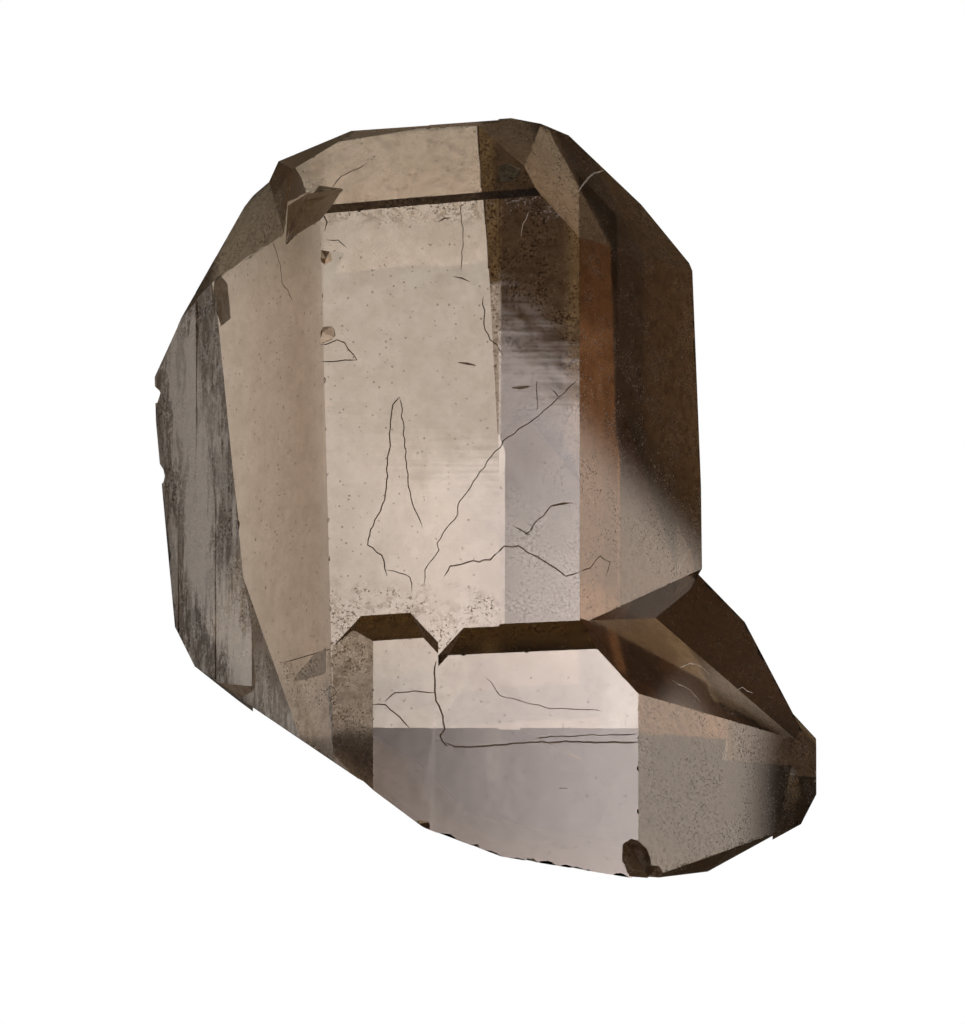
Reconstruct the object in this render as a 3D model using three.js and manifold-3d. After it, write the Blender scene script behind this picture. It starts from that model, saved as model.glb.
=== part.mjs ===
// A smoky quartz gwindel: quartz crystals grown together, each made of thin individuals that turn a
// little from one to the next about an a axis. Millimetres. It lies on its back: the c axis runs
// along +Y, the a axis that the twist turns about along +X, and the front prism faces look up, +Z.
import * as THREE from "three";
import { mergeVertices } from "three/addons/utils/BufferGeometryUtils.js";
import Module from "manifold-3d";

const wasm = await Module();
wasm.setup();

// Quartz angles, in degrees
const prismTurn = 60; // about c, from one prism face to the next
const rhombTilt = 38.2; // from a prism face to the rhombohedral face at its end
const prismLean = -1.3; // the left prism face leans this much out of the zone, by the twist
const joinTurn = 30; // about c, from the lower crystal's front face to the face at its left

// Driving sizes
const upperFront = 18.5; // the upper crystal's front prism face above the resting face
const frontStep = 1.5; // the lower crystal's front face stands this far above it
const upperRight = 5.65; // edges of the two front faces, along a
const upperLeft = -9.73;
const lowerRight = 9.18;
const lowerLeft = -6.87;
const upperTop = 15.3; // end of the upper front face, along c
const rightEnd = 20.2; // the worn tip on the right
const blankSide = 120; // the blank that a crystal is cut from
const far = blankSide / 2; // beyond the crystal, along a

const lowerFront = upperFront + frontStep;
const joinRise = 0.12; // the lower crystal stands this far out of the upper one's left prism face

// The outward normal of a face: turned about c from the front face, then tilted towards +c.
function normalOf(turn, tilt) {
  const t = THREE.MathUtils.degToRad(turn);
  const p = THREE.MathUtils.degToRad(tilt);
  return new THREE.Vector3(
    Math.sin(t) * Math.cos(p),
    Math.sin(p),
    Math.cos(t) * Math.cos(p),
  );
}

// A crystal face: its direction and one point that it passes through.
function face(turn, tilt, ...point) {
  return { normal: normalOf(turn, tilt), point: new THREE.Vector3(...point) };
}

// A face given by three of its corners, in counter-clockwise order seen from outside.
function corners(a, b, c) {
  const [p, q, r] = [a, b, c].map((xyz) => new THREE.Vector3(...xyz));
  const normal = q.clone().sub(p).cross(r.clone().sub(p)).normalize();
  return { normal, point: p };
}

// A wall below the edge from a to b, with the crystal on its left. It leans in under the edge by
// some degrees from the upright.
function wall(a, b, lean) {
  const [p, q] = [a, b].map((xyz) => new THREE.Vector3(...xyz));
  const edge = q.clone().sub(p).normalize();
  const l = THREE.MathUtils.degToRad(lean);
  const out = new THREE.Vector3(edge.y, -edge.x, 0).normalize();
  const normal = out.multiplyScalar(Math.cos(l)).setZ(-Math.sin(l));
  normal.addScaledVector(edge, -normal.dot(edge)).normalize();
  return { normal, point: p };
}

// The part of a blank outside every face: what breaks off along a step or out of a notch.
function outsideOf(faces) {
  let solid = blank();
  for (const { normal, point } of faces)
    solid = solid.trimByPlane([normal.x, normal.y, normal.z], normal.dot(point));
  return solid;
}

function blank() {
  return solidOf(new THREE.BoxGeometry(blankSide, blankSide, blankSide));
}

function solidOf(geometry) {
  const bare = geometry.clone();
  for (const name of Object.keys(bare.attributes))
    if (name !== "position") bare.deleteAttribute(name);
  const merged = mergeVertices(bare, 1e-5);
  return new wasm.Manifold(
    new wasm.Mesh({
      numProp: 3,
      vertProperties: new Float32Array(merged.attributes.position.array),
      triVerts: new Uint32Array(merged.index.array),
    }),
  );
}

// Cuts a blank down to the inside of every face.
function crystal(faces) {
  let solid = blank();
  for (const { normal, point } of faces)
    solid = solid.trimByPlane(
      [-normal.x, -normal.y, -normal.z],
      -normal.dot(point),
    );
  return solid;
}

// The thin individuals of the twist: each is the crystal turned about the a axis by its own small
// angle, and kept between two places along a. Neighbours overlap a little, so that they join. The
// turn is about the line along a that passes through [y, z].
const overlap = 0.02;
function twisted(solid, individuals, [y, z]) {
  const made = individuals.map(({ from, to, twist }) =>
    solid
      .translate([0, -y, -z])
      .rotate([twist, 0, 0])
      .translate([0, y, z])
      .trimByPlane([1, 0, 0], from - overlap)
      .trimByPlane([-1, 0, 0], -to - overlap),
  );
  return made.reduce((whole, next) => whole.add(next));
}

// A chip broken out of an edge, with flat conchoidal sides.
function chip(centre, size, turns) {
  const geometry = new THREE.IcosahedronGeometry(0.5, 0);
  geometry.scale(...size);
  geometry.rotateX(turns[0]);
  geometry.rotateZ(turns[1]);
  geometry.translate(...centre);
  return solidOf(geometry);
}

// Faces that the upper crystal shares with the low individuals along its left edge
const topLeftFace = corners([-16.23, 12.45, 7.81], [-12.77, 13.67, 13.87], [-14.9, 17.09, 6.0]);
const backLeftFace = corners([-20.3, 5.4, 2.6], [-12.79, 10.65, 0], [-10.12, -5.48, 0]);
const bottomLeftFace = corners([-14.77, -6.79, 9.47], [-16.66, -12.2, 5.2], [-11.86, -15.64, 14.12]);
// The broken top left corner: the large break with its riser, then a smaller one and a shallow step,
// each with its floor and two walls
const largeBreak = [
  topLeftFace,
  corners([-11.9, 17.4, 15.5], [-12.7, 17.4, 11.5], [-12.5, 13.3, 14.0]),
];
const smallBreak = [
  corners([-8.76, 16.06, 17.5], [-12.16, 13.37, 14.91], [-9.8, 14.3, 18.6]),
  corners([-12.22, 13.4, 15.0], [-10.95, 15.9, 17.0], [-12.22, 13.4, 18.0]),
  corners([-10.95, 15.9, 17.0], [-8.76, 16.15, 17.5], [-10.95, 15.9, 20.0]),
];
const step = [
  corners([-11.67, 17.18, 16.41], [-10.9, 15.95, 17.0], [-9.73, 17.15, 16.57]),
  corners([-10.52, 15.87, 17.53], [-11.43, 16.1, 17.28], [-10.9, 16.0, 18.5]),
  corners([-9.73, 17.15, 16.57], [-10.52, 15.87, 17.53], [-10.1, 16.5, 18.5]),
];
// The small notch at the lower end of the left prism face: a floor, a side wall and a lower wall
const notchCorner = [-9.73, -13.83, 17.3];
const notch = [
  corners([-9.73, -12.4, 17.95], [-11.2, -13.55, 15.4], notchCorner),
  face(-90, 0, ...notchCorner),
  face(0, 90, ...notchCorner),
];
const leftEdge = [
  backLeftFace,
  corners([-12.16, 17.3, 16.36], [-8.21, 20.12, 14.41], [-10.76, 20.1, 11.0]),
  wall([-12.77, 19.4, 8.0], [-14.9, 17.09, 6.0], 10),
  wall([-15.99, 14.99, 5.0], [-19.46, 8.86, 3.0], 10),
  wall([-20.1, 3.0, 2.6], [-18.91, -8.12, 3.0], 10),
  wall([-18.91, -8.12, 3.0], [-16.66, -12.0, 4.0], 20),
  wall([-16.66, -12.0, 4.0], [-6.75, -21.43, 20.0], 14),
];

// The upper crystal
const upperFaces = [
  face(0, 0, 0, 0, upperFront),
  face(prismTurn, 0, upperRight, 0, upperFront),
  face(-prismTurn, prismLean, upperLeft, -0.36, upperFront),
  face(-4, rhombTilt, -3, upperTop, upperFront),
  face(-1.8, rhombTilt / 2, -3, upperTop - 0.3, upperFront), // the narrow bevel along the top edge
  face(prismTurn, rhombTilt, 5.96, 13.0, 17.97),
  corners([2.55, 17.44, 17.1], [3.1, 20.78, 10.68], [1.4, 18.57, 16.23]), // the worn top right corner
  corners([-8.51, 20.26, 14.28], [1.5, 20.72, 14.48], [-3.95, 21.1, 12.0]),
  corners([-3.95, 21.1, 12.0], [4.26, 21.6, 7.4], [-5.0, 18.0, 0]),
  face(125, 47, 7.0, 19.68, 5.68),
  face(117, 30, 10.03, 16.69, 5.11),
  corners([13.07, 4.99, 5.65], [1.22, -7.53, 0], [-0.06, 17.17, 0]),
  corners([5.65, -10.86, 18.5], [8.03, -9.69, 12.95], [13.07, -5.38, 5.65]),
  wall([-6.75, -21.43, 20.0], [0.91, -25.44, 20.0], 14),
  face(180, -rhombTilt, 0, -15.4, 0),
  wall([13.32, -4.8, 5.3], [12.68, 11.05, 6.3], 15), // the worn right edge
  bottomLeftFace,
  ...leftEdge,
];
// The low individuals along the left edge
const edgeFaces = [
  corners([-16.42, 9.63, 7.37], [-20.3, 5.4, 2.6], [-14.77, -6.79, 9.47]),
  face(90, 0, -14.3, 0, 0),
  face(-prismTurn, -rhombTilt, -15.0, -14.4, 7.2),
  ...leftEdge,
];

// The lower crystal's individuals share these faces.
const lowerFaces = [
  face(0, 0, 0, 0, lowerFront),
  face(prismTurn, 0, lowerRight, 0, lowerFront),
  face(-joinTurn, 0, lowerLeft, -16, lowerFront), // the rough face where it joins the upper crystal
  face(prismTurn, rhombTilt, lowerRight, -15.44, lowerFront),
  face(90, 0, rightEnd, 0, 0),
  wall([-16.66, -12.0, 4.0], [-6.75, -21.43, 20.0], 14),
  wall([-6.75, -21.43, 20.0], [-4.26, -23.47, 20.0], 14),
  wall([-4.26, -23.47, 20.0], [0.91, -25.44, 20.0], 12),
  wall([0.91, -25.44, 20.0], [9.42, -26.86, 20.0], 14),
  wall([10.82, -25.93, 17.16], [19.46, -20.45, 2.2], 0),
];
const lowerLeftEnd = [
  face(-3, rhombTilt, -5.4, -12.1, lowerFront),
  face(prismTurn, rhombTilt, -3.55, -12.3, lowerFront),
  face(-prismTurn, rhombTilt, -9.36, -12.3, upperFront),
  face(-prismTurn, prismLean, upperLeft - joinRise, -0.36, upperFront),
  bottomLeftFace,
];
const lowerRightEnd = [
  face(-2, rhombTilt, 2.0, -12.9, lowerFront),
  face(-prismTurn, rhombTilt, -2.4, -13.2, lowerFront),
];
const backRhomb = face(180, -rhombTilt, 0, -15.4, 0);
const tipBackRhomb = face(180, -rhombTilt, 0, -17.3, 0);
// A low individual behind the lower crystal, on the right
const lowFaces = [
  corners([12.6, -7.5, 5.2], [16.7, -13.1, 4.0], [15.81, -8.12, 3.0]),
  wall([19.76, -15.53, 3.0], [15.81, -8.12, 3.0], 8),
  wall([15.81, -8.12, 3.0], [13.44, -5.83, 4.0], 8),
  face(90, 0, rightEnd, 0, 0),
  face(-90, 0, 9.5, 0, 0),
  face(0, -80, 0, -16.5, 3.0),
  face(prismTurn, 0, lowerRight, 0, lowerFront),
];

const restingFace = 0;
const innerBoundary = -2.95; // between the lower crystal's individuals
const tipBoundary = 17.5;
const lowerCentre = [-16, 12];
let solid = twisted(
  crystal(upperFaces),
  [
    { from: -far, to: -3.5, twist: -0.35 },
    { from: -3.5, to: 0.75, twist: 0 },
    { from: 0.75, to: far, twist: 0.7 },
  ],
  [0, 12],
);
solid = solid
  .add(
    twisted(
      crystal(edgeFaces),
      [
        { from: -far, to: -18.9, twist: -0.9 },
        { from: -18.9, to: -17.8, twist: -0.2 },
        { from: -17.8, to: -16.6, twist: -0.8 },
        { from: -16.6, to: -14, twist: -0.3 },
      ],
      [0, 6],
    ),
  )
  .add(
    twisted(
      crystal([...lowerFaces, ...lowerLeftEnd, backRhomb]),
      [{ from: -far, to: innerBoundary, twist: 0.15 }],
      lowerCentre,
    ),
  )
  .add(
    twisted(
      crystal([...lowerFaces, ...lowerRightEnd, backRhomb]),
      [{ from: innerBoundary, to: far, twist: 0 }],
      lowerCentre,
    ),
  )
  .add(
    twisted(
      crystal([...lowerFaces, ...lowerRightEnd, tipBackRhomb]),
      [{ from: tipBoundary, to: far, twist: 0 }],
      lowerCentre,
    ),
  )
  .add(crystal(lowFaces))
  .trimByPlane([0, 0, 1], restingFace);

// Chips: [x, y, z], [length along x, y, z], [turn about x, about z]
const chips = [
  [[9.5, -26.0, 20.2], [2.5, 4.4, 4.6], [0.5, 0.6]], // the deep one in the bottom edge
  [[10.4, -26.6, 18.4], [1.6, 2.2, 4.0], [0.2, 0.2]],
  [[5.2, -26.7, 20.2], [2.0, 1.4, 2.6], [0.3, 0.2]],
  [[2.6, -26.2, 20.0], [1.6, 1.1, 2.2], [0.8, 1.2]],
  [[-0.9, -25.2, 20.2], [1.5, 0.9, 1.6], [0.4, 0.7]],
  [[-3.9, -23.9, 20.2], [1.4, 1.0, 1.8], [1.1, 0.3]],
  [[-20.5, 6.1, 2.8], [1.2, 1.5, 2.0], [0.3, 0.1]],
  [[-20.2, 1.2, 2.8], [1.1, 1.7, 2.2], [0.6, 0.4]],
  [[-19.8, -4.4, 3.0], [1.0, 1.3, 2.0], [0.9, 0.8]],
  [[-18.9, -9.2, 3.4], [1.4, 1.6, 2.4], [0.2, 1.1]],
  [[13.6, 2.4, 5.6], [1.0, 1.5, 1.8], [0.4, 0.5]],
  [[13.8, -3.0, 5.2], [0.9, 1.2, 1.6], [0.7, 0.2]],
  [[20.5, -17.4, 1.4], [1.3, 1.1, 1.6], [0.5, 0.9]],
  [[-12.9, 19.2, 8.6], [2.0, 0.9, 1.8], [0.5, 0.6]],
  [[-9.9, 11.9, 18.9], [1.6, 2.0, 1.3], [0.4, 0.5]],
  [[-9.9, 7.0, 18.8], [2.0, 1.7, 1.3], [0.9, 0.4]],
];
for (const cut of chips) solid = solid.subtract(chip(...cut));
for (const faces of [largeBreak, smallBreak, step, notch]) solid = solid.subtract(outsideOf(faces));

// Centres the crystal over the origin.
const { min, max } = solid.boundingBox();
solid = solid.translate([-(min[0] + max[0]) / 2, -(min[1] + max[1]) / 2, 0]);

function meshOf(name, made, material) {
  const found = made.getMesh();
  const geometry = new THREE.BufferGeometry();
  geometry.setAttribute(
    "position",
    new THREE.BufferAttribute(new Float32Array(found.vertProperties), 3),
  );
  geometry.setIndex(new THREE.BufferAttribute(new Uint32Array(found.triVerts), 1));
  const mesh = new THREE.Mesh(geometry, material);
  mesh.name = name;
  return mesh;
}

const smokyQuartz = new THREE.MeshStandardMaterial({
  color: 0x5a4630,
  roughness: 0.12,
  metalness: 0,
});
const gwindel = new THREE.Group();
gwindel.add(meshOf("gwindel", solid, smokyQuartz));

export default gwindel;
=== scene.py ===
import math
import random

import bmesh
import bpy
from mathutils import Matrix, Vector
from mathutils.bvhtree import BVHTree


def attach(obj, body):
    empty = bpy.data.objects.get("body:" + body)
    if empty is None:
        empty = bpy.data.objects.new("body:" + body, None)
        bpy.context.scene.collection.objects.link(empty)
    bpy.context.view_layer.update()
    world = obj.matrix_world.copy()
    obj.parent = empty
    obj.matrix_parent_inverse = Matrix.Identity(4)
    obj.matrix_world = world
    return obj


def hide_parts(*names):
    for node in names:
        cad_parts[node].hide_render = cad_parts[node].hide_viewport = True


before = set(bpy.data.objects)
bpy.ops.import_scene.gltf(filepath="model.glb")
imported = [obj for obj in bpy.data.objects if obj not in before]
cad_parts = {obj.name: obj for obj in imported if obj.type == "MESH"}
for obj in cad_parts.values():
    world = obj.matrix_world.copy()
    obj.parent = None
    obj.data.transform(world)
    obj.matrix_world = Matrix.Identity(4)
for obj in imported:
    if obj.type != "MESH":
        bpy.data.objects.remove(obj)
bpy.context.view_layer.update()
print("frame loaded")

mm = 0.001


# Camera: the photograph looks 10 degrees off the front faces' normal, through a long lens.
view = {
    "elevation": 80.0,  # degrees
    "distance": 1.6,  # m
    "target": (-0.167, -0.925, 15.0),  # mm
    "frameHeight": 62.26,  # mm across the picture's long side
    "sensor": 36.0,
    "clip": (0.05, 20.0),  # m
}
elevation = math.radians(view["elevation"])
towardsCamera = Vector((0, -math.cos(elevation), math.sin(elevation)))
pictureUp = Vector((0, math.sin(elevation), math.cos(elevation)))


def makeCamera():
    data = bpy.data.cameras.new("camera")
    data.sensor_width = view["sensor"]
    data.lens = view["sensor"] * view["distance"] / (view["frameHeight"] * mm)
    data.clip_start, data.clip_end = view["clip"]
    camera = bpy.data.objects.new("camera", data)
    bpy.context.scene.collection.objects.link(camera)
    camera.location = Vector(view["target"]) * mm + towardsCamera * view["distance"]
    camera.rotation_mode = "QUATERNION"
    camera.rotation_quaternion = (-towardsCamera).to_track_quat("-Z", "Y")
    bpy.context.scene.camera = camera


makeCamera()
print("camera placed")


# Node helpers
def addNode(tree, kind, inputs=None, **settings):
    node = tree.nodes.new(kind)
    for key, value in settings.items():
        setattr(node, key, value)
    for key, value in (inputs or {}).items():
        if isinstance(value, bpy.types.NodeSocket):
            tree.links.new(value, node.inputs[key])
        else:
            node.inputs[key].default_value = value
    return node


def math_(tree, operation, a, b=0.0, clamp=False):
    node = addNode(tree, "ShaderNodeMath", {0: a, 1: b}, operation=operation)
    node.use_clamp = clamp
    return node.outputs[0]


def times(tree, first, *others):
    for other in others:
        first = math_(tree, "MULTIPLY", first, other)
    return first


def mapRange(tree, value, fromMin, fromMax, toMin=0.0, toMax=1.0, smooth=True):
    node = addNode(
        tree,
        "ShaderNodeMapRange",
        {"Value": value, "From Min": fromMin, "From Max": fromMax, "To Min": toMin, "To Max": toMax},
        interpolation_type="SMOOTHSTEP" if smooth else "LINEAR",
    )
    return node.outputs["Result"]


def mixColour(tree, factor, a, b, blend="MIX"):
    node = addNode(tree, "ShaderNodeMix", data_type="RGBA", blend_type=blend)
    node.clamp_result = blend == "MULTIPLY"
    for socket, value in ((node.inputs[0], factor), (node.inputs[6], a), (node.inputs[7], b)):
        if isinstance(value, bpy.types.NodeSocket):
            tree.links.new(value, socket)
        else:
            socket.default_value = value
    return node.outputs[2]


def noise(tree, place, scale, detail, roughness=0.5):
    inputs = {"Vector": place, "Scale": scale, "Detail": detail, "Roughness": roughness}
    return addNode(tree, "ShaderNodeTexNoise", inputs).outputs["Fac"]


def stretched(tree, place, stretch):
    return addNode(tree, "ShaderNodeVectorMath", {0: place, 1: stretch}, operation="MULTIPLY").outputs[0]


def separate(tree, vector):
    return addNode(tree, "ShaderNodeSeparateXYZ", {0: vector}).outputs


# The place on a surface, in mm
def placeOn(tree):
    onObject = addNode(tree, "ShaderNodeTexCoord").outputs["Object"]
    return addNode(tree, "ShaderNodeVectorMath", {0: onObject, "Scale": 1 / mm}, operation="SCALE").outputs[0]


def newMaterial(name):
    material = bpy.data.materials.new(name)
    material.use_nodes = True
    tree = material.node_tree
    tree.nodes.clear()
    return material, tree


# Where a pixel of the photograph lies on the crystal: every pixel looks along one direction.
picture = {
    "scale": 0.0608,  # mm per pixel
    "origin": (485.25, 539.86),  # the pixel that looks at the frame's origin
    "standOff": 0.2,  # m: where a line of sight starts
}


def seenAt(surface, pixel):
    right = (pixel[0] - picture["origin"][0]) * picture["scale"] * mm
    up = (picture["origin"][1] - pixel[1]) * picture["scale"] * mm
    start = Vector((right, 0, 0)) + pictureUp * up + towardsCamera * picture["standOff"]
    place, normal, _, _ = surface.ray_cast(start, -towardsCamera)
    return place, normal


# The way a crystal face points, by its turn round c and its tilt towards c, in degrees
def directionOf(turn, tilt):
    round_, up = math.radians(turn), math.radians(tilt)
    return Vector((math.sin(round_) * math.cos(up), math.sin(up), math.cos(round_) * math.cos(up)))


# Material slots on the crystal, in order. Broken faces join the first one when they are marked.
slots = {"quartz": 0, "seam": 1, "frost": 2, "broken": 3}


# Takes a closed cutter out of the crystal, and leaves the cutter's material on the cut.
def cut(target, cutterMesh):
    cutter = bpy.data.objects.new("cutter", cutterMesh)
    bpy.context.scene.collection.objects.link(cutter)
    modifier = target.modifiers.new("cut", "BOOLEAN")
    modifier.operation = "DIFFERENCE"
    modifier.solver = "MANIFOLD"
    modifier.object = cutter
    graph = bpy.context.evaluated_depsgraph_get()
    made = bpy.data.meshes.new_from_object(target.evaluated_get(graph))
    target.modifiers.clear()
    worked = len(made.polygons) > 0
    if worked:
        old = target.data
        target.data = made
        bpy.data.meshes.remove(old)
    else:
        print("a cutter did not work")
        bpy.data.meshes.remove(made)
    bpy.data.objects.remove(cutter)
    bpy.data.meshes.remove(cutterMesh)
    return worked


def blankMesh(name):
    mesh = bpy.data.meshes.new(name)
    for material in quartzMaterials:
        mesh.materials.append(material)
    return mesh


def surfaceOf(target):
    bm = bmesh.new()
    bm.from_mesh(target.data)
    surface = BVHTree.FromBMesh(bm)
    bm.free()
    return surface


# Chips along the crystal's edges
chips = {
    "seed": 11,
    "leastFace": 3.0,  # square mm
    "leastEdge": 1.0,  # mm
    "leastAngle": 14.0,  # degrees between the two faces
    "leastUp": 0.02,  # of a face's normal: a face that points up less than this is out of sight
    "outline": {"spacing": (0.5, 2.0), "length": (0.4, 1.6), "depth": (0.08, 0.28)},  # mm
    "inner": {"spacing": (1.2, 4.0), "length": (0.15, 0.6), "depth": (0.04, 0.10)},
    "lengthPower": 1.4,  # more short chips than long ones
    "across": (0.5, 0.9),  # of a chip's length
    "turn": 0.6,  # radians
    "lumps": (0.9, 1.1),
    "tall": 1.6,  # of a chip's depth
    "lift": 0.6,
}


def chipCutter(place, along, out, length, depth, rng):
    mesh = blankMesh("chip")
    bm = bmesh.new()
    bmesh.ops.create_icosphere(bm, subdivisions=1, radius=1)
    side = along.cross(out).normalized()
    across = length * rng.uniform(*chips["across"])
    turn = Matrix.Rotation(rng.uniform(-chips["turn"], chips["turn"]), 3, out)
    for vertex in bm.verts:
        co = vertex.co * rng.uniform(*chips["lumps"])
        local = along * co.x * length / 2 + side * co.y * across / 2 + out * co.z * depth * chips["tall"]
        vertex.co = place + turn @ local + out * depth * chips["lift"]
    bm.to_mesh(mesh)
    bm.free()
    for face in mesh.polygons:
        face.material_index = slots["broken"]
    return mesh


def chipPlaces(mesh, rng):
    bm = bmesh.new()
    bm.from_mesh(mesh)
    places = []
    for edge in bm.edges:
        if len(edge.link_faces) != 2 or edge.calc_length() < chips["leastEdge"] * mm:
            continue
        first, second = (face.normal for face in edge.link_faces)
        if not edge.is_convex or first.angle(second) < math.radians(chips["leastAngle"]):
            continue
        if min(face.calc_area() for face in edge.link_faces) < chips["leastFace"] * mm * mm:
            continue  # the tiny steps between individuals
        low, high = sorted((first.z, second.z))
        if high < chips["leastUp"]:
            continue  # hidden under the crystal
        rule = chips["outline"] if low < chips["leastUp"] else chips["inner"]
        out = (first + second).normalized()
        a, b = (vertex.co.copy() for vertex in edge.verts)
        along = (b - a).normalized()
        reach = (b - a).length
        at = rng.uniform(*rule["spacing"]) * mm / 2
        while at < reach:
            length = rng.uniform(*rule["length"]) ** chips["lengthPower"]
            depth = rng.uniform(*rule["depth"])
            places.append((a + along * at, along, out, length * mm, depth * mm))
            at += rng.uniform(*rule["spacing"]) * mm
    bm.free()
    return places


# Larger rough breaks, each between two pixels of the photograph, and how deep in mm
scars = [((226, 264), (214, 332), 0.34), ((489, 174), (523, 172), 0.12)]
leastScar = 0.15  # square mm: a broken face larger than this is dark and rough


def scarPlaces(surface):
    places = []
    for first, last, depth in scars:
        start, _ = seenAt(surface, first)
        end, _ = seenAt(surface, last)
        middle, out = seenAt(surface, ((first[0] + last[0]) / 2, (first[1] + last[1]) / 2))
        along = end - start
        along -= out * along.dot(out)
        places.append((middle, along.normalized(), out, along.length, depth * mm))
    return places


def chipEdges(target, places, rng):
    for place in places:
        cut(target, chipCutter(*place, rng))
    print("chips cut:", len(places))


# Sutures between individuals and healed cracks, dark or frosted: each is a fine groove, given by its
# width in mm and the pixels of the photograph that it runs along.
grooves = {
    "depth": 0.05,  # mm
    "lift": 0.03,  # how far a cutter stands out of the face
    "taper": 0.35,  # of the width and depth, at both ends
    "piece": 6.0,  # pixels
    "stray": 1.1,
    "seed": 5,
    "dark": [
        (
            0.075,
            [
                (399, 398), (393, 405), (390, 440), (385, 500), (375, 520), (370, 535), (368, 545),
                (382, 555), (387, 575),
            ],
        ),
        (0.065, [(400, 399), (405, 440), (408, 480), (415, 510), (422, 525)]),
        (0.06, [(387, 570), (400, 573), (410, 577), (412, 590)]),
        (
            0.06,
            [
                (577, 380), (540, 415), (508, 437), (491, 457), (459, 502), (458, 514), (437, 543),
                (439, 550), (425, 570), (424, 584),
            ],
        ),
        (
            0.085,
            [
                (445, 575), (450, 566), (468, 562), (490, 560), (504, 546), (518, 546), (542, 560),
                (565, 576), (579, 572),
            ],
        ),
        (0.07, [(522, 531), (526, 534), (551, 506)]),
        (0.20, [(519, 529), (526, 533)]),
        (0.14, [(551, 506), (570, 503)]),
        (0.22, [(516, 388), (526, 387)]),
        (0.06, [(537, 382), (537, 410)]),
        (0.07, [(483, 298), (485, 330), (490, 340), (497, 345), (503, 355)]),
        (0.05, [(461, 205), (463, 240), (461, 270)]),
        (0.07, [(321, 345), (337, 340), (345, 343), (357, 360), (322, 362)]),
        (0.10, [(455, 277), (468, 281)]),
        (0.16, [(461, 363), (473, 365)]),
        (0.10, [(436, 662), (435, 690), (436, 700), (443, 715), (445, 728), (440, 735), (447, 745)]),
        (0.10, [(447, 742), (455, 746), (500, 744), (530, 741), (636, 741)]),
        (0.06, [(535, 738), (550, 735), (634, 733)]),
        (0.08, [(373, 704), (386, 704), (400, 716), (410, 727)]),
        (0.07, [(386, 700), (395, 692), (415, 690), (435, 692)]),
        (0.05, [(487, 678), (500, 695), (520, 700), (550, 708), (600, 710)]),
        (0.06, [(272, 240), (280, 265), (281, 280), (292, 300)]),
        (0.07, [(579, 572), (590, 568), (600, 556), (610, 562), (606, 576)]),
        (0.06, [(550, 388), (556, 394), (560, 400)]),
        (0.10, [(440, 221), (449, 218)]),
        (0.05, [(325, 692), (331, 685), (337, 692), (329, 700), (325, 692)]),
        (0.12, [(561, 787), (565, 787)]),
        (0.07, [(333, 186), (341, 176), (352, 170), (366, 163)]),
        (0.09, [(322, 213), (327, 222), (325, 230)]),
        (0.06, [(328, 240), (338, 240), (346, 247)]),
    ],
    "frosted": [
        (0.09, [(579, 190), (586, 180), (595, 171), (604, 168)]),
        (0.10, [(221, 273), (245, 257), (264, 246)]),
        (0.05, [(528, 213), (523, 224), (521, 236)]),
        (0.08, [(680, 668), (690, 664), (702, 667), (712, 676)]),
        (0.07, [(672, 680), (690, 690), (700, 702)]),
        (0.06, [(735, 694), (744, 688), (754, 694)]),
    ],
}


# Breaks a line of pixels into short pieces that stray a little to the side.
def jagged(pixels, rng):
    line = [pixels[0]]
    for (x0, y0), (x1, y1) in zip(pixels, pixels[1:]):
        length = math.hypot(x1 - x0, y1 - y0)
        pieces = max(1, round(length / grooves["piece"]))
        for i in range(1, pieces + 1):
            off = rng.uniform(-1, 1) * grooves["stray"] if i < pieces else 0.0
            along = i / pieces
            x, y = x0 + (x1 - x0) * along, y0 + (y1 - y0) * along
            line.append((x - (y1 - y0) / length * off, y + (x1 - x0) / length * off))
    return line


def grooveCutter(surface, pixels, width, slot):
    found = [seenAt(surface, pixel) for pixel in pixels]
    found = [(place, normal) for place, normal in found if place is not None]
    mesh = blankMesh("groove")
    bm = bmesh.new()
    rings = []
    last = len(found) - 1
    for i, (place, normal) in enumerate(found):
        before, after = found[max(i - 1, 0)][0], found[min(i + 1, last)][0]
        along = (after - before).normalized()
        side = along.cross(normal).normalized()
        taper = grooves["taper"] if i in (0, last) else 1.0
        half = side * width / 2 * mm * taper
        if i == 0:
            place = place - along * width * mm
        if i == last:
            place = place + along * width * mm
        ring = [place + half, place + normal * grooves["lift"] * mm, place - half]
        ring.append(place - normal * grooves["depth"] * mm * taper)
        rings.append([bm.verts.new(co) for co in ring])
    for a, b in zip(rings, rings[1:]):
        for j in range(4):
            k = (j + 1) % 4
            bm.faces.new((a[j], a[k], b[k], b[j]))
    bm.faces.new(rings[0])
    bm.faces.new(list(reversed(rings[-1])))
    bmesh.ops.recalc_face_normals(bm, faces=bm.faces)
    bmesh.ops.triangulate(bm, faces=bm.faces)
    bm.to_mesh(mesh)
    bm.free()
    for face in mesh.polygons:
        face.material_index = slot
    return mesh


def cutGrooves(target):
    surface = surfaceOf(target)
    rng = random.Random(grooves["seed"])
    for kind, slot in (("dark", slots["seam"]), ("frosted", slots["frost"])):
        for width, pixels in grooves[kind]:
            cut(target, grooveCutter(surface, jagged(pixels, rng), width, slot))
    print("grooves cut")


# How a kind of face looks: its tint, partly the smoky colour and partly painted shade that darkens whole
# faces, its roughness, how speckled it is, and where it is found. That is the direction it faces (turn and
# tilt, or a vector), how many degrees off it may be, and where along x, y or z it lies, in mm. The first
# that fits counts.
def look(name, tintAndShade, roughness, speckle, **where):
    return {"name": name, "tintAndShade": tintAndShade, "roughness": roughness, "speckle": speckle, **where}


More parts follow.
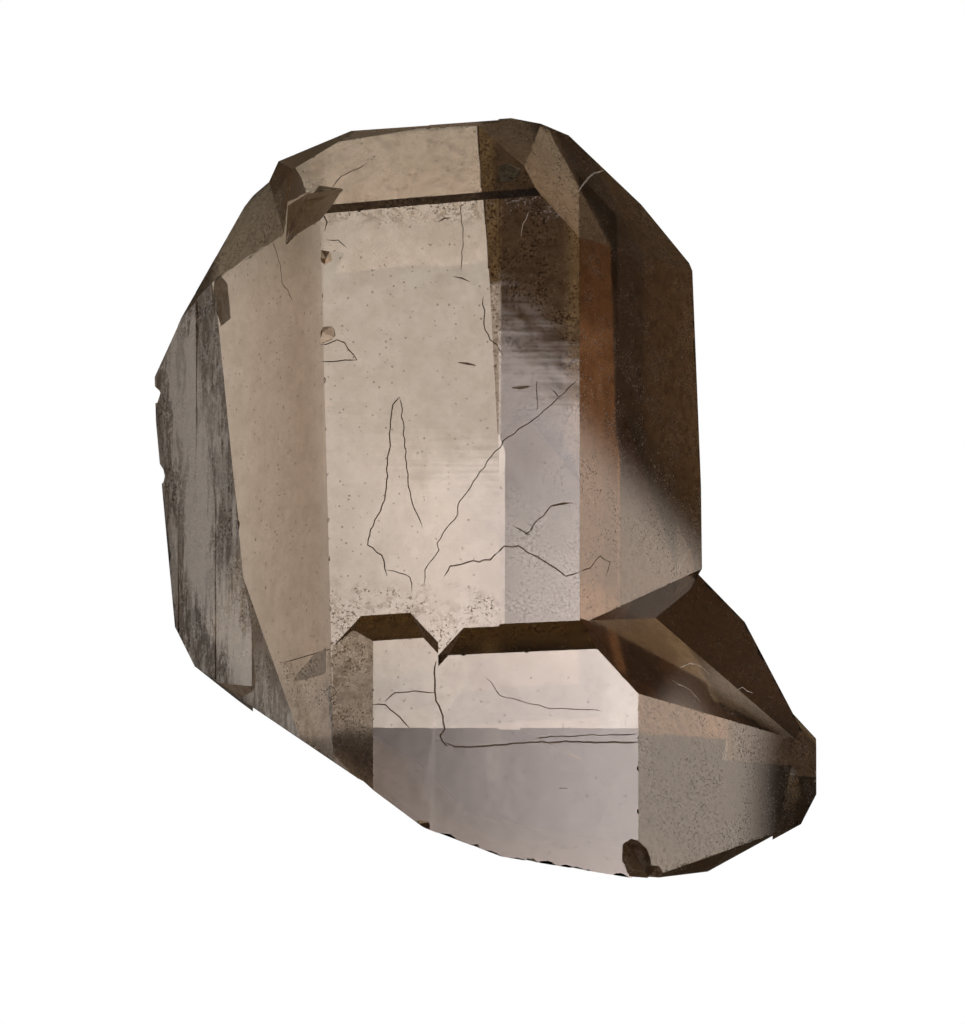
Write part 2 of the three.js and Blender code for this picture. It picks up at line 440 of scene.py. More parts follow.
leftFoot = (-0.888, -0.051, 0.458)
faceLooks = [
    look("resting", (0.97, 0.95, 0.93), 0.03, 0.1, towards=(0, 0, -1)),
    look("topBevel", (0.010, 0.005, 0.002), 0.4, 1.0, turn=-2, tilt=19.1),
    look("topCorner", (0.1, 0.07, 0.04), 0.25, 0.7, turn=43, tilt=51),
    look("brokenCorner", (0.11, 0.085, 0.055), 0.3, 0.9, turn=-68, tilt=39.5, streaks=0.25),
    look("undercut", (0.14, 0.08, 0.035), 0.12, 0.4, towards=(0.80, -0.55, 0.227), within=5),
    look("lowerEnd", (0.028, 0.012, 0.002), 0.2, 0.5, turn=-2.5, tilt=38.2, y=(-30, -5)),
    look("lowerEndLeft", (0.028, 0.012, 0.002), 0.2, 0.5, turn=-60, tilt=38.2, y=(-30, -5)),
    look("lowerEndRight", (0.46, 0.29, 0.14), 0.12, 0.6, turn=60, tilt=38.2, y=(-30, -5)),
    look("lowIndividual", (0.035, 0.010, 0.0015), 0.2, 0.5, towards=(0.58, 0.259, 0.773)),
    look("notch", (0.12, 0.09, 0.06), 0.3, 0.9, towards=(-0.78, -0.26, 0.57), within=6),
    look("lowLeft", (0.92, 0.88, 0.82), 0.18, 0.8, turn=-60, tilt=-1.3, within=1.2, y=(-30, -11)),
    look("topLeftWedge", (0.06, 0.045, 0.025), 0.3, 0.6, towards=(-0.439, 0.838, 0.323), within=5),
    look("join", (0.62, 0.55, 0.48), 0.25, 0.8, turn=-30, tilt=0),
    look("topLeft", (0.14, 0.115, 0.075), 0.3, 0.9, towards=(-0.831, 0.392, 0.395), streaks=0.25),
    look("bottomLeftInner", (0.92, 0.88, 0.82), 0.18, 0.8, towards=leftFoot, within=1.4, z=(13, 99)),
    look("bottomLeftRhomb", (0.08, 0.06, 0.045), 0.3, 0.9, towards=(-0.681, -0.616, 0.396), within=5),
    look("bottomLeft", (0.07, 0.055, 0.04), 0.35, 0.9, towards=leftFoot, within=1.4, streaks=0.5),
    look("strip", (0.07, 0.05, 0.03), 0.35, 0.9, towards=(-0.777, 0.0, 0.63), within=9, streaks=1.0),
    look("tipBack", (0.06, 0.05, 0.045), 0.3, 0.6, turn=180, tilt=-38.2),
    look("prism", (0.97, 0.95, 0.93), 0.03, 0.1, turn=0, tilt=0),
    look("lowRight", (0.86, 0.86, 0.78), 0.08, 1.0, turn=60, tilt=0, y=(-30, -11)),
    look("prismRight", (0.95, 0.84, 0.68), 0.08, 0.75, turn=60, tilt=0),
    look("prismLeft", (0.97, 0.95, 0.93), 0.03, 0.12, turn=-60, tilt=-1.3),
    look("topRhomb", (0.92, 1.0, 1.0), 0.04, 0.3, turn=-4, tilt=38.2),
    look("topRightRhomb", (0.7, 0.62, 0.52), 0.1, 0.8, turn=60, tilt=38.2),
]
otherLooks = {
    "contact": {"tintAndShade": (0.075, 0.042, 0.014), "roughness": 0.55, "speckle": 1.0},
    "broken": {"tintAndShade": (0.6, 0.52, 0.42), "roughness": 0.22, "speckle": 0.3},
    "scar": {"tintAndShade": (0.12, 0.095, 0.06), "roughness": 0.35, "speckle": 0.9},
    "plain": {"tintAndShade": (0.7, 0.62, 0.52), "roughness": 0.1, "speckle": 0.5},
}
sameDirection = 3.0  # degrees
everywhere = (-99, 99)  # mm
downward = -0.05  # a face whose normal has less z than this is a rough contact underneath
markNames = ("tintAndShade", "roughness", "speckle", "streaks", "resting")


def lookOf(face, normal):
    if face.material_index == slots["broken"]:
        return otherLooks["scar" if face.area > leastScar * mm * mm else "broken"]
    for kind in faceLooks:
        towards = Vector(kind["towards"]) if "towards" in kind else directionOf(kind["turn"], kind["tilt"])
        if normal.angle(towards, math.pi) > math.radians(kind.get("within", sameDirection)):
            continue
        placed = [kind.get(axis, everywhere) for axis in "xyz"]
        if all(low * mm < at < high * mm for (low, high), at in zip(placed, face.center)):
            return kind
    if normal.z < downward:
        return otherLooks["contact"]
    return otherLooks["plain"]


# A cut face keeps the exact normal of the crystal face that it was part of, so that it still mirrors
# as one flat face however its outline is divided.
flatness = 0.002  # mm


def flatNormals(mesh, whole):
    normals = []
    for face in mesh.polygons:
        near, onto, _, _ = whole.find_nearest(face.center)
        corners = [mesh.vertices[index].co for index in face.vertices]
        flat = max(abs((corner - near).dot(onto)) for corner in corners) < flatness * mm
        normals.append(onto if flat else face.normal.copy())
    return normals


def keepFlat(mesh, normals):
    loops = []
    for face, normal in zip(mesh.polygons, normals):
        loops.extend([normal] * face.loop_total)
        face.use_smooth = True
    mesh.normals_split_custom_set(loops)


def markFaces(mesh, normals):
    for name in markNames:
        mesh.attributes.new(name, "FLOAT_COLOR" if name == "tintAndShade" else "FLOAT", "FACE")
    marks = mesh.attributes
    for face, normal in zip(mesh.polygons, normals):
        kind = lookOf(face, normal)
        marks["tintAndShade"].data[face.index].color = (*kind["tintAndShade"], 1)
        marks["roughness"].data[face.index].value = kind["roughness"]
        marks["speckle"].data[face.index].value = kind["speckle"]
        marks["streaks"].data[face.index].value = kind.get("streaks", 0.0)
        marks["resting"].data[face.index].value = 1.0 if kind.get("name") == "resting" else 0.0
        if face.material_index == slots["broken"]:
            face.material_index = slots["quartz"]


# Shader groups: an input without a value is a place, and every output is a number.
def newGroup(name, inputs, outputs):
    tree = bpy.data.node_groups.new(name, "ShaderNodeTree")
    for label, value in inputs.items():
        kind = "NodeSocketVector" if value is None else "NodeSocketFloat"
        socket = tree.interface.new_socket(label, in_out="INPUT", socket_type=kind)
        if value is not None:
            socket.default_value = value
    for label in outputs:
        tree.interface.new_socket(label, in_out="OUTPUT", socket_type="NodeSocketFloat")
    return tree, tree.nodes.new("NodeGroupInput").outputs, tree.nodes.new("NodeGroupOutput").inputs


def placeGroup(tree, group, inputs):
    return addNode(tree, "ShaderNodeGroup", inputs, node_tree=group).outputs


# Fine dark and light grains, as on an etched or dusty face. Size is in grains per mm.
grainy = {
    "detail": 2.0,
    "patches": (0.5, 4.0),  # a noise: scale per mm, and detail
    "patchy": (0.34, 0.66),  # that noise from where grains are scarce to where they are thick
    "scarce": 0.3,
    "edge": 0.31,  # noise below this is a dark grain, and noise as far below 1 a light one
    "more": 0.16,  # how far a full amount moves both edges inwards
    "soft": 0.08,
    "shows": (0.12, 0.5),  # the amount from where grains start to show to where they are full
}


def makeSpeckleGroup():
    tree, given, out = newGroup("speckle", {"Place": None, "Size": 9.0, "Amount": 0.5}, ["Dark", "Light"])
    fine = noise(tree, given["Place"], given["Size"], grainy["detail"])
    patch = noise(tree, given["Place"], *grainy["patches"])
    patchy = mapRange(tree, patch, *grainy["patchy"], grainy["scarce"], 1.0)
    level = times(tree, given["Amount"], patchy)
    darkEdge = math_(tree, "ADD", times(tree, level, grainy["more"]), grainy["edge"])
    lightEdge = math_(tree, "SUBTRACT", 1.0, darkEdge)
    dark = mapRange(tree, math_(tree, "SUBTRACT", darkEdge, fine), 0.0, grainy["soft"])
    light = mapRange(tree, math_(tree, "SUBTRACT", fine, lightEdge), 0.0, grainy["soft"])
    strength = mapRange(tree, level, *grainy["shows"])
    tree.links.new(math_(tree, "MULTIPLY", dark, strength, clamp=True), out["Dark"])
    tree.links.new(math_(tree, "MULTIPLY", light, strength, clamp=True), out["Light"])
    return tree


# Sparse dark specks, each a small round pit. Size is in cells per mm, share is how many hold one.
specks = {"radius": (0.07, 0.22), "soft": 0.6}


def makeSpeckGroup():
    tree, given, out = newGroup("specks", {"Place": None, "Size": 2.2, "Share": 0.5}, ["Dark"])
    cells = addNode(tree, "ShaderNodeTexVoronoi", {"Vector": given["Place"], "Scale": given["Size"]})
    chance, bulk, _ = addNode(tree, "ShaderNodeSeparateColor", {0: cells.outputs["Color"]}).outputs
    radius = mapRange(tree, bulk, 0, 1, *specks["radius"])
    dot = mapRange(tree, cells.outputs["Distance"], radius, times(tree, radius, specks["soft"]))
    chosen = math_(tree, "LESS_THAN", chance, given["Share"])
    tree.links.new(times(tree, dot, chosen), out["Dark"])
    return tree


# A whitish etched skin in streaks along c, as where thin individuals end side by side, and strongest
# along one curved band.
etched = {
    "streaks": (  # stretch of the noise, from where to where it shows, how much it adds
        ((1.2, 0.10, 0.6), 0.48, 0.60, 0.5),
        ((4.0, 0.5, 2.0), 0.50, 0.62, 0.5),
        ((5.0, 3.0, 5.0), 0.54, 0.62, 0.5),
    ),
    "noise": (1.0, 5.0, 0.65),  # scale, detail, roughness
    "share": 0.9,
    "band": {"x": -17.6, "lean": -0.12, "bend": 0.02, "width": 1.5, "amount": 2.6, "least": 0.25},  # mm
}


def makeStreakGroup():
    tree, given, out = newGroup("etchedStreaks", {"Place": None, "Amount": 0.5}, ["Weight"])
    total = 0.0
    for stretch, low, high, share in etched["streaks"]:
        streak = noise(tree, stretched(tree, given["Place"], stretch), *etched["noise"])
        total = math_(tree, "ADD", mapRange(tree, streak, low, high, 0, share), total)
    band = etched["band"]
    x, y, _ = separate(tree, given["Place"])
    below = math_(tree, "MINIMUM", y, 0.0)
    curve = times(tree, below, below, band["bend"])
    middle = math_(tree, "ADD", math_(tree, "ADD", times(tree, y, band["lean"]), curve), band["x"])
    off = math_(tree, "ABSOLUTE", math_(tree, "SUBTRACT", x, middle))
    inBand = mapRange(tree, off, band["width"], 0.0, 0.0, band["amount"])
    spread = times(tree, inBand, math_(tree, "ADD", total, band["least"]))
    total = math_(tree, "ADD", times(tree, total, etched["share"]), spread)
    tree.links.new(math_(tree, "MULTIPLY", total, given["Amount"], clamp=True), out["Weight"])
    return tree


# Growth lines across c, and the soft waviness of a grown face. It puts out a height in mm.
growth = {"stretch": (0.12, 2.6, 0.12), "lines": (1.0, 1.0), "waves": (0.35, 2.0)}  # scale and detail


def makeGrowthGroup():
    tree, given, out = newGroup("growthLines", {"Place": None, "Lines": 0.5, "Waves": 0.5}, ["Height"])
    lines = noise(tree, stretched(tree, given["Place"], growth["stretch"]), *growth["lines"])
    waves = noise(tree, given["Place"], *growth["waves"])
    height = math_(tree, "ADD", times(tree, lines, given["Lines"]), times(tree, waves, given["Waves"]))
    tree.links.new(height, out["Height"])
    return tree


speckleGroup = makeSpeckleGroup()
speckGroup = makeSpeckGroup()
streakGroup = makeStreakGroup()
growthGroup = makeGrowthGroup()


# Clear smoky quartz
quartz = {
    "ior": 1.544,
    "absorbed": (28.7, 36.5, 44.4),  # per metre: red, green, blue
    "density": 60.0,
    "coatIor": 3.4,  # the whitish skin of etched faces
    "coatRoughness": 0.6,
    "glints": (0.05, 0.5),  # that skin on light grains: on plain faces, on streaked ones
    "growthLines": 0.0007,  # mm
    "waves": 0.005,
    "grainDepth": 0.0015,
    "grains": 6.5,  # per mm
    "grainRoughness": 0.3,
    "specks": 2.6,  # per mm
    "speckShare": (0.45, 0.9),  # on clean faces, on speckled ones
    "speckDepth": 0.8,
    "wanderNoise": (0.8, 4.0, 0.6),  # scale per mm, detail, roughness
    "wanderRange": (0.3, 0.7),
    "wander": 0.15,  # mm: how far the edges of zones wander
    "stray": 5.0,  # how much farther the dirt's edge does
    "coatedSteps": ((4.2, 5.4, 0.3), (14.6, 15.8, 0.75), (15.8, 21.0, 0.3)),  # mm: from y to y, how much
    "coatedRoughness": 0.5,
    "bandShades": {"band": 0.70, "bandEdge": 0.8, "bandTop": 0.93},
    "leftSlope": (-14.5, -10.2),  # mm along x: how the painted shade on the left prism face deepens towards the front
    "edgeClear": 0.8,
    "tipShade": 0.85,
}

# Colours of the quartz's zones; contactShaded, leftShaded and shaded are painted shade. The first four
# replace a face's tint, and the others multiply it.
tints = {
    "dusky": (0.82, 0.81, 0.80, 1),
    "duskyTop": (0.50, 0.52, 0.49, 1),
    "duskyEnd": (0.60, 0.63, 0.67, 1),
    "contactClear": (0.9, 0.88, 0.85, 1),
    "contactShaded": (0.27, 0.26, 0.36, 1),
    "duller": (0.62, 0.61, 0.63, 1),
    "leftShaded": (0.80, 0.77, 0.74, 1),
    "shaded": (0.07, 0.05, 0.03, 1),
    "darkGrain": (0.12, 0.08, 0.05, 1),
    "lightGrain": (2.2, 2.3, 2.4, 1),
}
coatings = {"upper": (0.006, 0.0023, 0.0006, 1), "lower": (0.095, 0.092, 0.085, 1)}

# Zones of the quartz: along each line, in mm, from where a zone starts to where it is full
zones = {
    # the resting face, and where it is a rough contact
    "low": [("yWandering", 4.0, -6.0)],
    "end": [("yWandering", -7.0, -10.0)],
    "top": [("yWandering", 13.0, 19.0)],
    "duller": [("x", -3.2, 0.6), ("y", 6.0, 1.0), ("x", 8.0, 6.5)],
    "coated": [("xStepped", 1.17, 1.23), ("y", -7.5, -7.1)],
    "coatedFarRight": [("xWandering", 9.0, 10.2)],
    # the slanting contact face beside it, with painted shade on its darkest part, and its clear edge
    "contact": [("z", 3.0, 2.6)],
    "contactShaded": [("x", 5.6, 4.6), ("x", 0.85, 1.1)],
    "contactClear": [("x", 1.0, 0.85), ("x", 0.0, 0.2), ("y", 14.9, 14.5)],
    # darker blotches on the front: above the lower crystal, and under the top bevel
    "blotchedAboveLower": [("yStraying", -5.6, -7.2), ("z", 18.3, 18.6), ("z", 19.6, 19.0)],
    "underBevel": [("yWandering", 15.6, 17.1), ("z", 18.0, 18.3)],
    # the right prism face, with painted shade over the orange band along its left edge
    "rightPrism": [("x", 5.65, 5.75), ("z", 10.0, 10.5), ("y", -7.0, -5.0)],
    "band": [("x", 8.2, 7.95)],
    "bandEdge": [("x", 6.2, 7.3), ("x", 8.2, 7.95)],
    "bandTop": [("y", 7.5, 11.0), ("x", 8.2, 7.95)],
    # painted shade on the left prism face, and on the tip at the lower right
    "leftPrism": [("x", -9.75, -9.9), ("z", 0.5, 1.0), ("y", -8.0, 6.0)],
    "tip": [("xWandering", 13.2, 16.4), ("y", -10.0, -13.0), ("z", 0.5, 1.0)],
}

# Darker patches: a noise (scale per mm, detail, roughness), from where to where it shows, how strong it is,
# and the colour that multiplies the tint
darkPatches = {
    "clouds": ((0.55, 4.0, 0.6), (0.35, 0.65), 0.22, (0.45, 0.38, 0.30, 1)),
    "blotches": ((1.3, 4.0, 0.7), (0.46, 0.60), 0.75, (0.34, 0.26, 0.18, 1)),
    "mottle": ((1.5, 4.0, 0.7), (0.46, 0.62), 0.7, (0.18, 0.12, 0.07, 1)),
}


def darkenPatches(tree, place, base, name, where=1.0):
    kind, shows, amount, colour = darkPatches[name]
    share = mapRange(tree, noise(tree, place, *kind), *shows, 0.0, amount)
    return mixColour(tree, times(tree, share, where), base, colour, "MULTIPLY")


def makeQuartz():
    material, tree = newMaterial("smokyQuartz")
    place = placeOn(tree)
    x, y, z = separate(tree, place)
    marks = {}
    for name in markNames:
        attribute = addNode(tree, "ShaderNodeAttribute", attribute_name=name)
        marks[name] = attribute.outputs["Color" if name == "tintAndShade" else "Fac"]
    resting = marks["resting"]

    wanders = noise(tree, place, *quartz["wanderNoise"])
    wander = mapRange(tree, wanders, *quartz["wanderRange"], -quartz["wander"], quartz["wander"])
    stepped = x
    for start, end, shift in quartz["coatedSteps"]:
        stepped = math_(tree, "ADD", stepped, mapRange(tree, y, start, end, 0, shift))
    lines = {
        "x": x,
        "y": y,
        "z": z,
        "xWandering": math_(tree, "ADD", x, wander),
        "yWandering": math_(tree, "ADD", y, wander),
        "yStraying": math_(tree, "ADD", y, times(tree, wander, quartz["stray"])),
        "xStepped": stepped,
    }

    def zone(name, *others):
        ranges = [mapRange(tree, lines[line], start, full) for line, start, full in zones[name]]
        return times(tree, *ranges, *others)

    coated = times(tree, math_(tree, "MAXIMUM", zone("coated"), zone("coatedFarRight")), resting)
    blotchedAboveLower = zone("blotchedAboveLower")
    underBevel = zone("underBevel")
    speckled = marks["speckle"]
    for share in (coated, blotchedAboveLower, underBevel):
        speckled = math_(tree, "MAXIMUM", speckled, share)
    grains = placeGroup(tree, speckleGroup, {"Place": place, "Size": quartz["grains"], "Amount": speckled})

    low = zone("low", resting)
    base = mixColour(tree, low, marks["tintAndShade"], tints["dusky"])
    base = mixColour(tree, zone("top", resting), base, tints["duskyTop"])
    base = mixColour(tree, zone("end", resting), base, tints["duskyEnd"])
    base = darkenPatches(tree, place, base, "clouds")
    base = darkenPatches(tree, place, base, "blotches", math_(tree, "MAXIMUM", blotchedAboveLower, underBevel))
    # Painted shade: over the orange band of the right prism face, on the darkest part of the contact face, on
    # the left prism face and on the tip.
    banded = 0.0
    for name, amount in quartz["bandShades"].items():
        banded = math_(tree, "MAXIMUM", banded, zone(name, amount))
    base = mixColour(tree, zone("rightPrism", banded), base, tints["shaded"], "MULTIPLY")
    base = mixColour(tree, zone("duller", resting), base, tints["duller"], "MULTIPLY")
    contact = zone("contact", mapRange(tree, resting, 0, 1, 1, 0))
    base = mixColour(tree, zone("contactShaded", contact), base, tints["contactShaded"], "MULTIPLY")
    clear = zone("contactClear", contact, quartz["edgeClear"])
    base = mixColour(tree, clear, base, tints["contactClear"])
    leftward = zone("leftPrism", mapRange(tree, x, *quartz["leftSlope"], smooth=False))
    base = mixColour(tree, leftward, base, tints["leftShaded"], "MULTIPLY")
    base = mixColour(tree, zone("tip", quartz["tipShade"]), base, tints["shaded"], "MULTIPLY")
    base = darkenPatches(tree, place, base, "mottle", marks["speckle"])
    base = mixColour(tree, coated, base, mixColour(tree, low, coatings["upper"], coatings["lower"]))
    base = mixColour(tree, grains["Dark"], base, tints["darkGrain"], "MULTIPLY")
    share = mapRange(tree, speckled, 0, 1, *quartz["speckShare"])
    dots = placeGroup(tree, speckGroup, {"Place": place, "Size": quartz["specks"], "Share": share})["Dark"]
    base = mixColour(tree, times(tree, dots, quartz["speckDepth"]), base, tints["darkGrain"], "MULTIPLY")
    base = mixColour(tree, grains["Light"], base, tints["lightGrain"], "MULTIPLY")
    rough = mapRange(tree, coated, 0, 1, marks["roughness"], quartz["coatedRoughness"])
    rough = math_(tree, "ADD", rough, times(tree, grains["Dark"], quartz["grainRoughness"]), clamp=True)

    skin = placeGroup(tree, streakGroup, {"Place": place, "Amount": marks["streaks"]})["Weight"]
    glinting = mapRange(tree, marks["streaks"], 0, 1, *quartz["glints"])
    coat = math_(tree, "MAXIMUM", skin, times(tree, grains["Light"], glinting))

    amounts = {"Place": place, "Lines": quartz["growthLines"], "Waves": quartz["waves"]}
    grown = placeGroup(tree, growthGroup, amounts)["Height"]
    height = math_(tree, "ADD", grown, times(tree, grains["Dark"], -quartz["grainDepth"]))
    bump = addNode(tree, "ShaderNodeBump", {"Height": height, "Strength": 1.0, "Distance": mm})
    shader = addNode(
        tree,
        "ShaderNodeBsdfPrincipled",
        {
            "Base Color": base,
            "Roughness": rough,
            "Normal": bump.outputs["Normal"],
            "IOR": quartz["ior"],
            "Transmission Weight": 1.0,
            "Coat Weight": coat,
            "Coat Roughness": quartz["coatRoughness"],
            "Coat IOR": quartz["coatIor"],
        },
    )
    passed = [1 - share / quartz["density"] for share in quartz["absorbed"]]
    smoke = {"Color": (*passed, 1), "Density": quartz["density"]}
    volume = addNode(tree, "ShaderNodeVolumeAbsorption", smoke)
    addNode(tree, "ShaderNodeOutputMaterial", {"Surface": shader.outputs[0], "Volume": volume.outputs[0]})
    return material


# Opaque seams: the dark walls of sutures, and frosted scratches
seams = {
    "healedSeam": {"light": (0.16, 0.12, 0.08, 1), "dark": (0.05, 0.033, 0.02, 1), "roughness": 0.6},
    "frostedSeam": {"light": (0.62, 0.58, 0.52, 1), "dark": (0.25, 0.22, 0.18, 1), "roughness": 0.7},
}
seamGrains = {"size": 14.0, "amount": 0.9, "smoother": 0.25}  # the roughness that light grains lose


def makeSeam(name):
    seam = seams[name]
    material, tree = newMaterial(name)
    inputs = {"Place": placeOn(tree), "Size": seamGrains["size"], "Amount": seamGrains["amount"]}
    grains = placeGroup(tree, speckleGroup, inputs)
    base = mixColour(tree, grains["Dark"], seam["light"], seam["dark"])
    smoothest = seam["roughness"] - seamGrains["smoother"]
    rough = mapRange(tree, grains["Light"], 0, 1, seam["roughness"], smoothest)
    shader = addNode(tree, "ShaderNodeBsdfPrincipled", {"Base Color": base, "Roughness": rough})
    addNode(tree, "ShaderNodeOutputMaterial", {"Surface": shader.outputs[0]})
    return material


clearQuartz = makeQuartz()
quartzMaterials = [clearQuartz, makeSeam("healedSeam"), makeSeam("frostedSeam"), clearQuartz]
print("materials made")


source = {"weld": 0.0001, "flat": 0.04}  # mm, and degrees: what counts as one point, one face


def buildCrystal():
    mesh = blankMesh("gwindelCrystal")
    bm = bmesh.new()
    bm.from_mesh(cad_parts["gwindel"].data)
    bmesh.ops.remove_doubles(bm, verts=bm.verts, dist=source["weld"] * mm)
    bmesh.ops.dissolve_limit(bm, angle_limit=math.radians(source["flat"]), verts=bm.verts, edges=bm.edges)
    bm.to_mesh(mesh)
    bm.free()
    for face in mesh.polygons:
        face.material_index = slots["quartz"]
    made = bpy.data.objects.new("gwindelCrystal", mesh)
    bpy.context.scene.collection.objects.link(made)
    return made


# The cuts leave cleaner faces on triangles than on large faces with many sides.
def triangulate(mesh):
    bm = bmesh.new()
    bm.from_mesh(mesh)
    bmesh.ops.triangulate(bm, faces=bm.faces)
    bm.to_mesh(mesh)
    bm.free()


gwindel = buildCrystal()
wholeSurface = surfaceOf(gwindel)
chipRandom = random.Random(chips["seed"])
placesForChips = chipPlaces(gwindel.data, chipRandom) + scarPlaces(wholeSurface)
triangulate(gwindel.data)
chipEdges(gwindel, placesForChips, chipRandom)
cutGrooves(gwindel)
faceNormals = flatNormals(gwindel.data, wholeSurface)
markFaces(gwindel.data, faceNormals)
keepFlat(gwindel.data, faceNormals)
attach(gwindel, "root")
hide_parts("gwindel")
print("crystal built:", len(gwindel.data.polygons), "faces")


# Light that comes up through the pale table. The table lets it through to the crystal, so the
# crystal glows as on a light table, brightest straight down and warmer to the sides.
glow = {
    "down": (0.95, 0.93, 0.9, 1),
    "side": (0.66, 0.575, 0.49, 1),
    "left": (0.42, 0.22, 0.11, 1),
    "leftBelow": (0.52, 0.42, 0.32, 1),
    "above": (0.056, 0.031, 0.013, 1),
    "camera": (1.0, 1.0, 1.0, 1),
    "glossy": (0.03, 0.02, 0.012, 1),
    "glossyLeft": (1.7, 1.46, 1.24, 1),  # a white wall beside the table
    "centre": (0, 0.174, -0.985),  # the direction of the brightest light
    "spot": (0.93, 0.99),  # the cosine of the angle off it: where the light is to the side, and down
    "leftFrom": (-0.1, -0.6),  # parts of a direction, from where each change starts to where it is full
    "leftBelowFrom": (0.0, -0.35),
    "aboveFrom": (-0.25, 0.05),
    "wallFrom": (-0.6, -0.9),
    "wallTop": (0.42, 0.22),
    "wallFoot": (-0.35, -0.1),
}


def makeWorld():
    world = bpy.data.worlds.new("studio")
    bpy.context.scene.world = world
    world.use_nodes = True
    tree = world.node_tree
    tree.nodes.clear()
    direction = addNode(tree, "ShaderNodeTexCoord").outputs["Generated"]
    x, y, z = separate(tree, direction)
    path = addNode(tree, "ShaderNodeLightPath")
    centre = addNode(tree, "ShaderNodeVectorMath", {0: direction, 1: glow["centre"]}, operation="DOT_PRODUCT")
    near = mapRange(tree, centre.outputs["Value"], *glow["spot"])
    colour = mixColour(tree, near, glow["side"], glow["down"])
    below = mapRange(tree, y, *glow["leftBelowFrom"])
    left = mixColour(tree, below, glow["left"], glow["leftBelow"])
    colour = mixColour(tree, mapRange(tree, x, *glow["leftFrom"]), colour, left)
    colour = mixColour(tree, mapRange(tree, z, *glow["aboveFrom"]), colour, glow["above"])
    colour = mixColour(tree, path.outputs["Is Camera Ray"], colour, glow["camera"])
    wall = mapRange(tree, x, *glow["wallFrom"])
    wall = times(tree, wall, mapRange(tree, z, *glow["wallTop"]), mapRange(tree, z, *glow["wallFoot"]))
    mirrored = mixColour(tree, wall, glow["glossy"], glow["glossyLeft"])
    colour = mixColour(tree, path.outputs["Is Reflection Ray"], colour, mirrored)
    background = addNode(tree, "ShaderNodeBackground", {"Color": colour, "Strength": 1.0})
    addNode(tree, "ShaderNodeOutputWorld", {"Surface": background.outputs[0]})


makeWorld()

# The table: white, and dim where the crystal mirrors it, but for a warm patch of light on its right.
table = {
    "size": 6.0,  # m
    "drop": 0.00002,
    "colour": (1, 1, 1, 1),
    "mirrored": (0.03, 0.019, 0.01, 1),
    "patch": (2.3, 1.93, 1.61, 1),
    "patchFrom": (8.0, 20.0),  # mm along x
    "patchEdge": (22.9, -0.2, 0.69),  # mm: a point on its upper edge, and how steeply that rises
    "patchSoft": 2.5,
    "leftPatch": (1.2, 1.08, 0.96, 1),
    "leftPatchFrom": (-38.5, -43.5),
    "shade": (14.0, -16.0, 15.0),  # mm: the crystal's own shade, a disc round its tip
    "shadeSoft": 3.0,
}


def makeTable():
    half = table["size"] / 2
    mesh = bpy.data.meshes.new("table")
    corners = [(-half, -half, 0), (half, -half, 0), (half, half, 0), (-half, half, 0)]
    mesh.from_pydata(corners, [], [(0, 1, 2, 3)])
    made = bpy.data.objects.new("table", mesh)
    made.location.z = -table["drop"]
    bpy.context.scene.collection.objects.link(made)
    material, tree = newMaterial("tableTop")
    path = addNode(tree, "ShaderNodeLightPath").outputs
    x, y, _ = separate(tree, placeOn(tree))
    edgeX, edgeY, rise = table["patchEdge"]
    edge = math_(tree, "ADD", times(tree, math_(tree, "SUBTRACT", x, edgeX), rise), edgeY)
    below = mapRange(tree, math_(tree, "SUBTRACT", edge, y), -table["patchSoft"], table["patchSoft"])
    shadeX, shadeY, radius = table["shade"]
    offX, offY = math_(tree, "SUBTRACT", x, shadeX), math_(tree, "SUBTRACT", y, shadeY)
    off = math_(tree, "SQRT", math_(tree, "ADD", times(tree, offX, offX), times(tree, offY, offY)))
    clearOfShade = mapRange(tree, off, radius - table["shadeSoft"], radius + table["shadeSoft"])
    patch = times(tree, below, clearOfShade, mapRange(tree, x, *table["patchFrom"]))
    colour = mixColour(tree, patch, table["mirrored"], table["patch"])
    colour = mixColour(tree, mapRange(tree, x, *table["leftPatchFrom"]), colour, table["leftPatch"])
    lit = addNode(tree, "ShaderNodeEmission", {"Color": table["colour"], "Strength": 1.0}).outputs[0]
    dim = addNode(tree, "ShaderNodeEmission", {"Color": colour, "Strength": 1.0}).outputs[0]
    clear = addNode(tree, "ShaderNodeBsdfTransparent").outputs[0]
    mirrored = path["Is Reflection Ray"]
    shown = addNode(tree, "ShaderNodeMixShader", {0: mirrored, 1: lit, 2: dim}).outputs[0]
    through = math_(tree, "MAXIMUM", path["Is Transmission Ray"], path["Is Shadow Ray"])
    surface = addNode(tree, "ShaderNodeMixShader", {0: through, 1: shown, 2: clear}).outputs[0]
    addNode(tree, "ShaderNodeOutputMaterial", {"Surface": surface})
    mesh.materials.append(material)


makeTable()


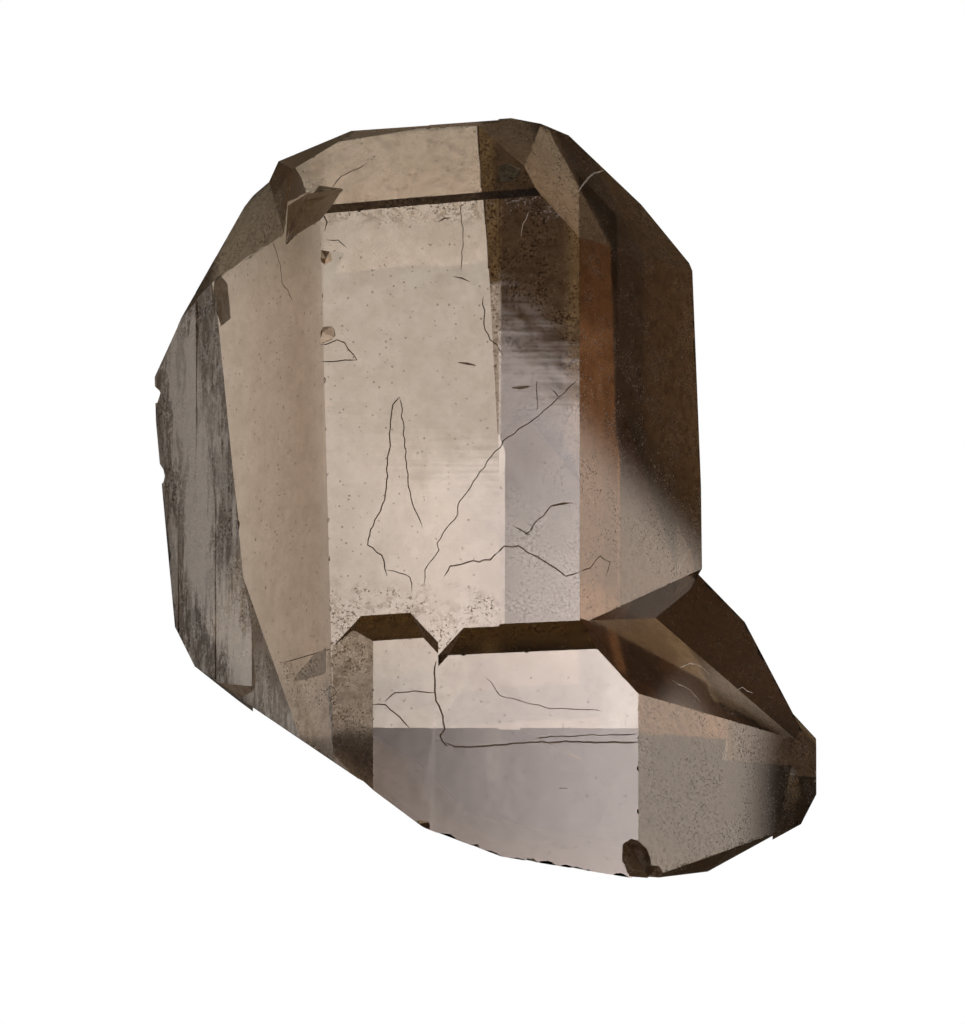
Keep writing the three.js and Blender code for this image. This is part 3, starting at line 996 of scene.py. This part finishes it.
# The softbox above, mirrored by the front faces: brighter to its right, with a soft upper edge.
softbox = {
    "height": 420.0,  # mm
    "left": -200.0,
    "right": 200.0,
    "near": -120.0,
    "far": 90.0,
    "edge": (73.9, 0.72),  # mm along c at the middle, and how far it falls for each mm to the right
    "edgeSoft": 4.0,
    "fade": (2.0, 14.0, 0.3),  # mm inside the edge, from where to where, and how much weaker it gets
    "strength": 5.4,
    "gain": 0.38,  # more for each mm to the right
    "levels": (1.0, 9.0),  # the least and the most
    "colour": (1.0, 0.87, 0.83, 1),
}


def makeSoftbox():
    mesh = bpy.data.meshes.new("softbox")
    xs, ys = (softbox["left"], softbox["right"]), (softbox["near"], softbox["far"])
    corners = [(xs[0], ys[0], 0), (xs[1], ys[0], 0), (xs[1], ys[1], 0), (xs[0], ys[1], 0)]
    mesh.from_pydata([Vector(corner) * mm for corner in corners], [], [(0, 1, 2, 3)])
    made = bpy.data.objects.new("softbox", mesh)
    made.location.z = softbox["height"] * mm
    bpy.context.scene.collection.objects.link(made)
    material, tree = newMaterial("softboxCloth")
    x, y, _ = separate(tree, placeOn(tree))
    middle, fall = softbox["edge"]
    edge = math_(tree, "SUBTRACT", middle, times(tree, x, fall))
    within = math_(tree, "SUBTRACT", edge, y)
    inside = mapRange(tree, within, -softbox["edgeSoft"], softbox["edgeSoft"])
    fadeStart, fadeEnd, fade = softbox["fade"]
    level = math_(tree, "ADD", times(tree, x, softbox["gain"]), softbox["strength"])
    level = math_(tree, "SUBTRACT", level, mapRange(tree, within, fadeStart, fadeEnd, 0, fade))
    level = mapRange(tree, level, *softbox["levels"], *softbox["levels"], smooth=False)
    emission = {"Color": softbox["colour"], "Strength": times(tree, inside, level)}
    lit = addNode(tree, "ShaderNodeEmission", emission)
    addNode(tree, "ShaderNodeOutputMaterial", {"Surface": lit.outputs[0]})
    mesh.materials.append(material)
    made.visible_camera = False
    made.visible_shadow = False


makeSoftbox()
print("stage lit")

# Colours are shown as they are, without a film look. Light turns many times inside the crystal.
bounces = {"max_bounces": 14, "glossy_bounces": 8, "transmission_bounces": 14}
scene = bpy.context.scene
scene.view_settings.view_transform = "Standard"
for kind, count in bounces.items():
    setattr(scene.cycles, kind, count)
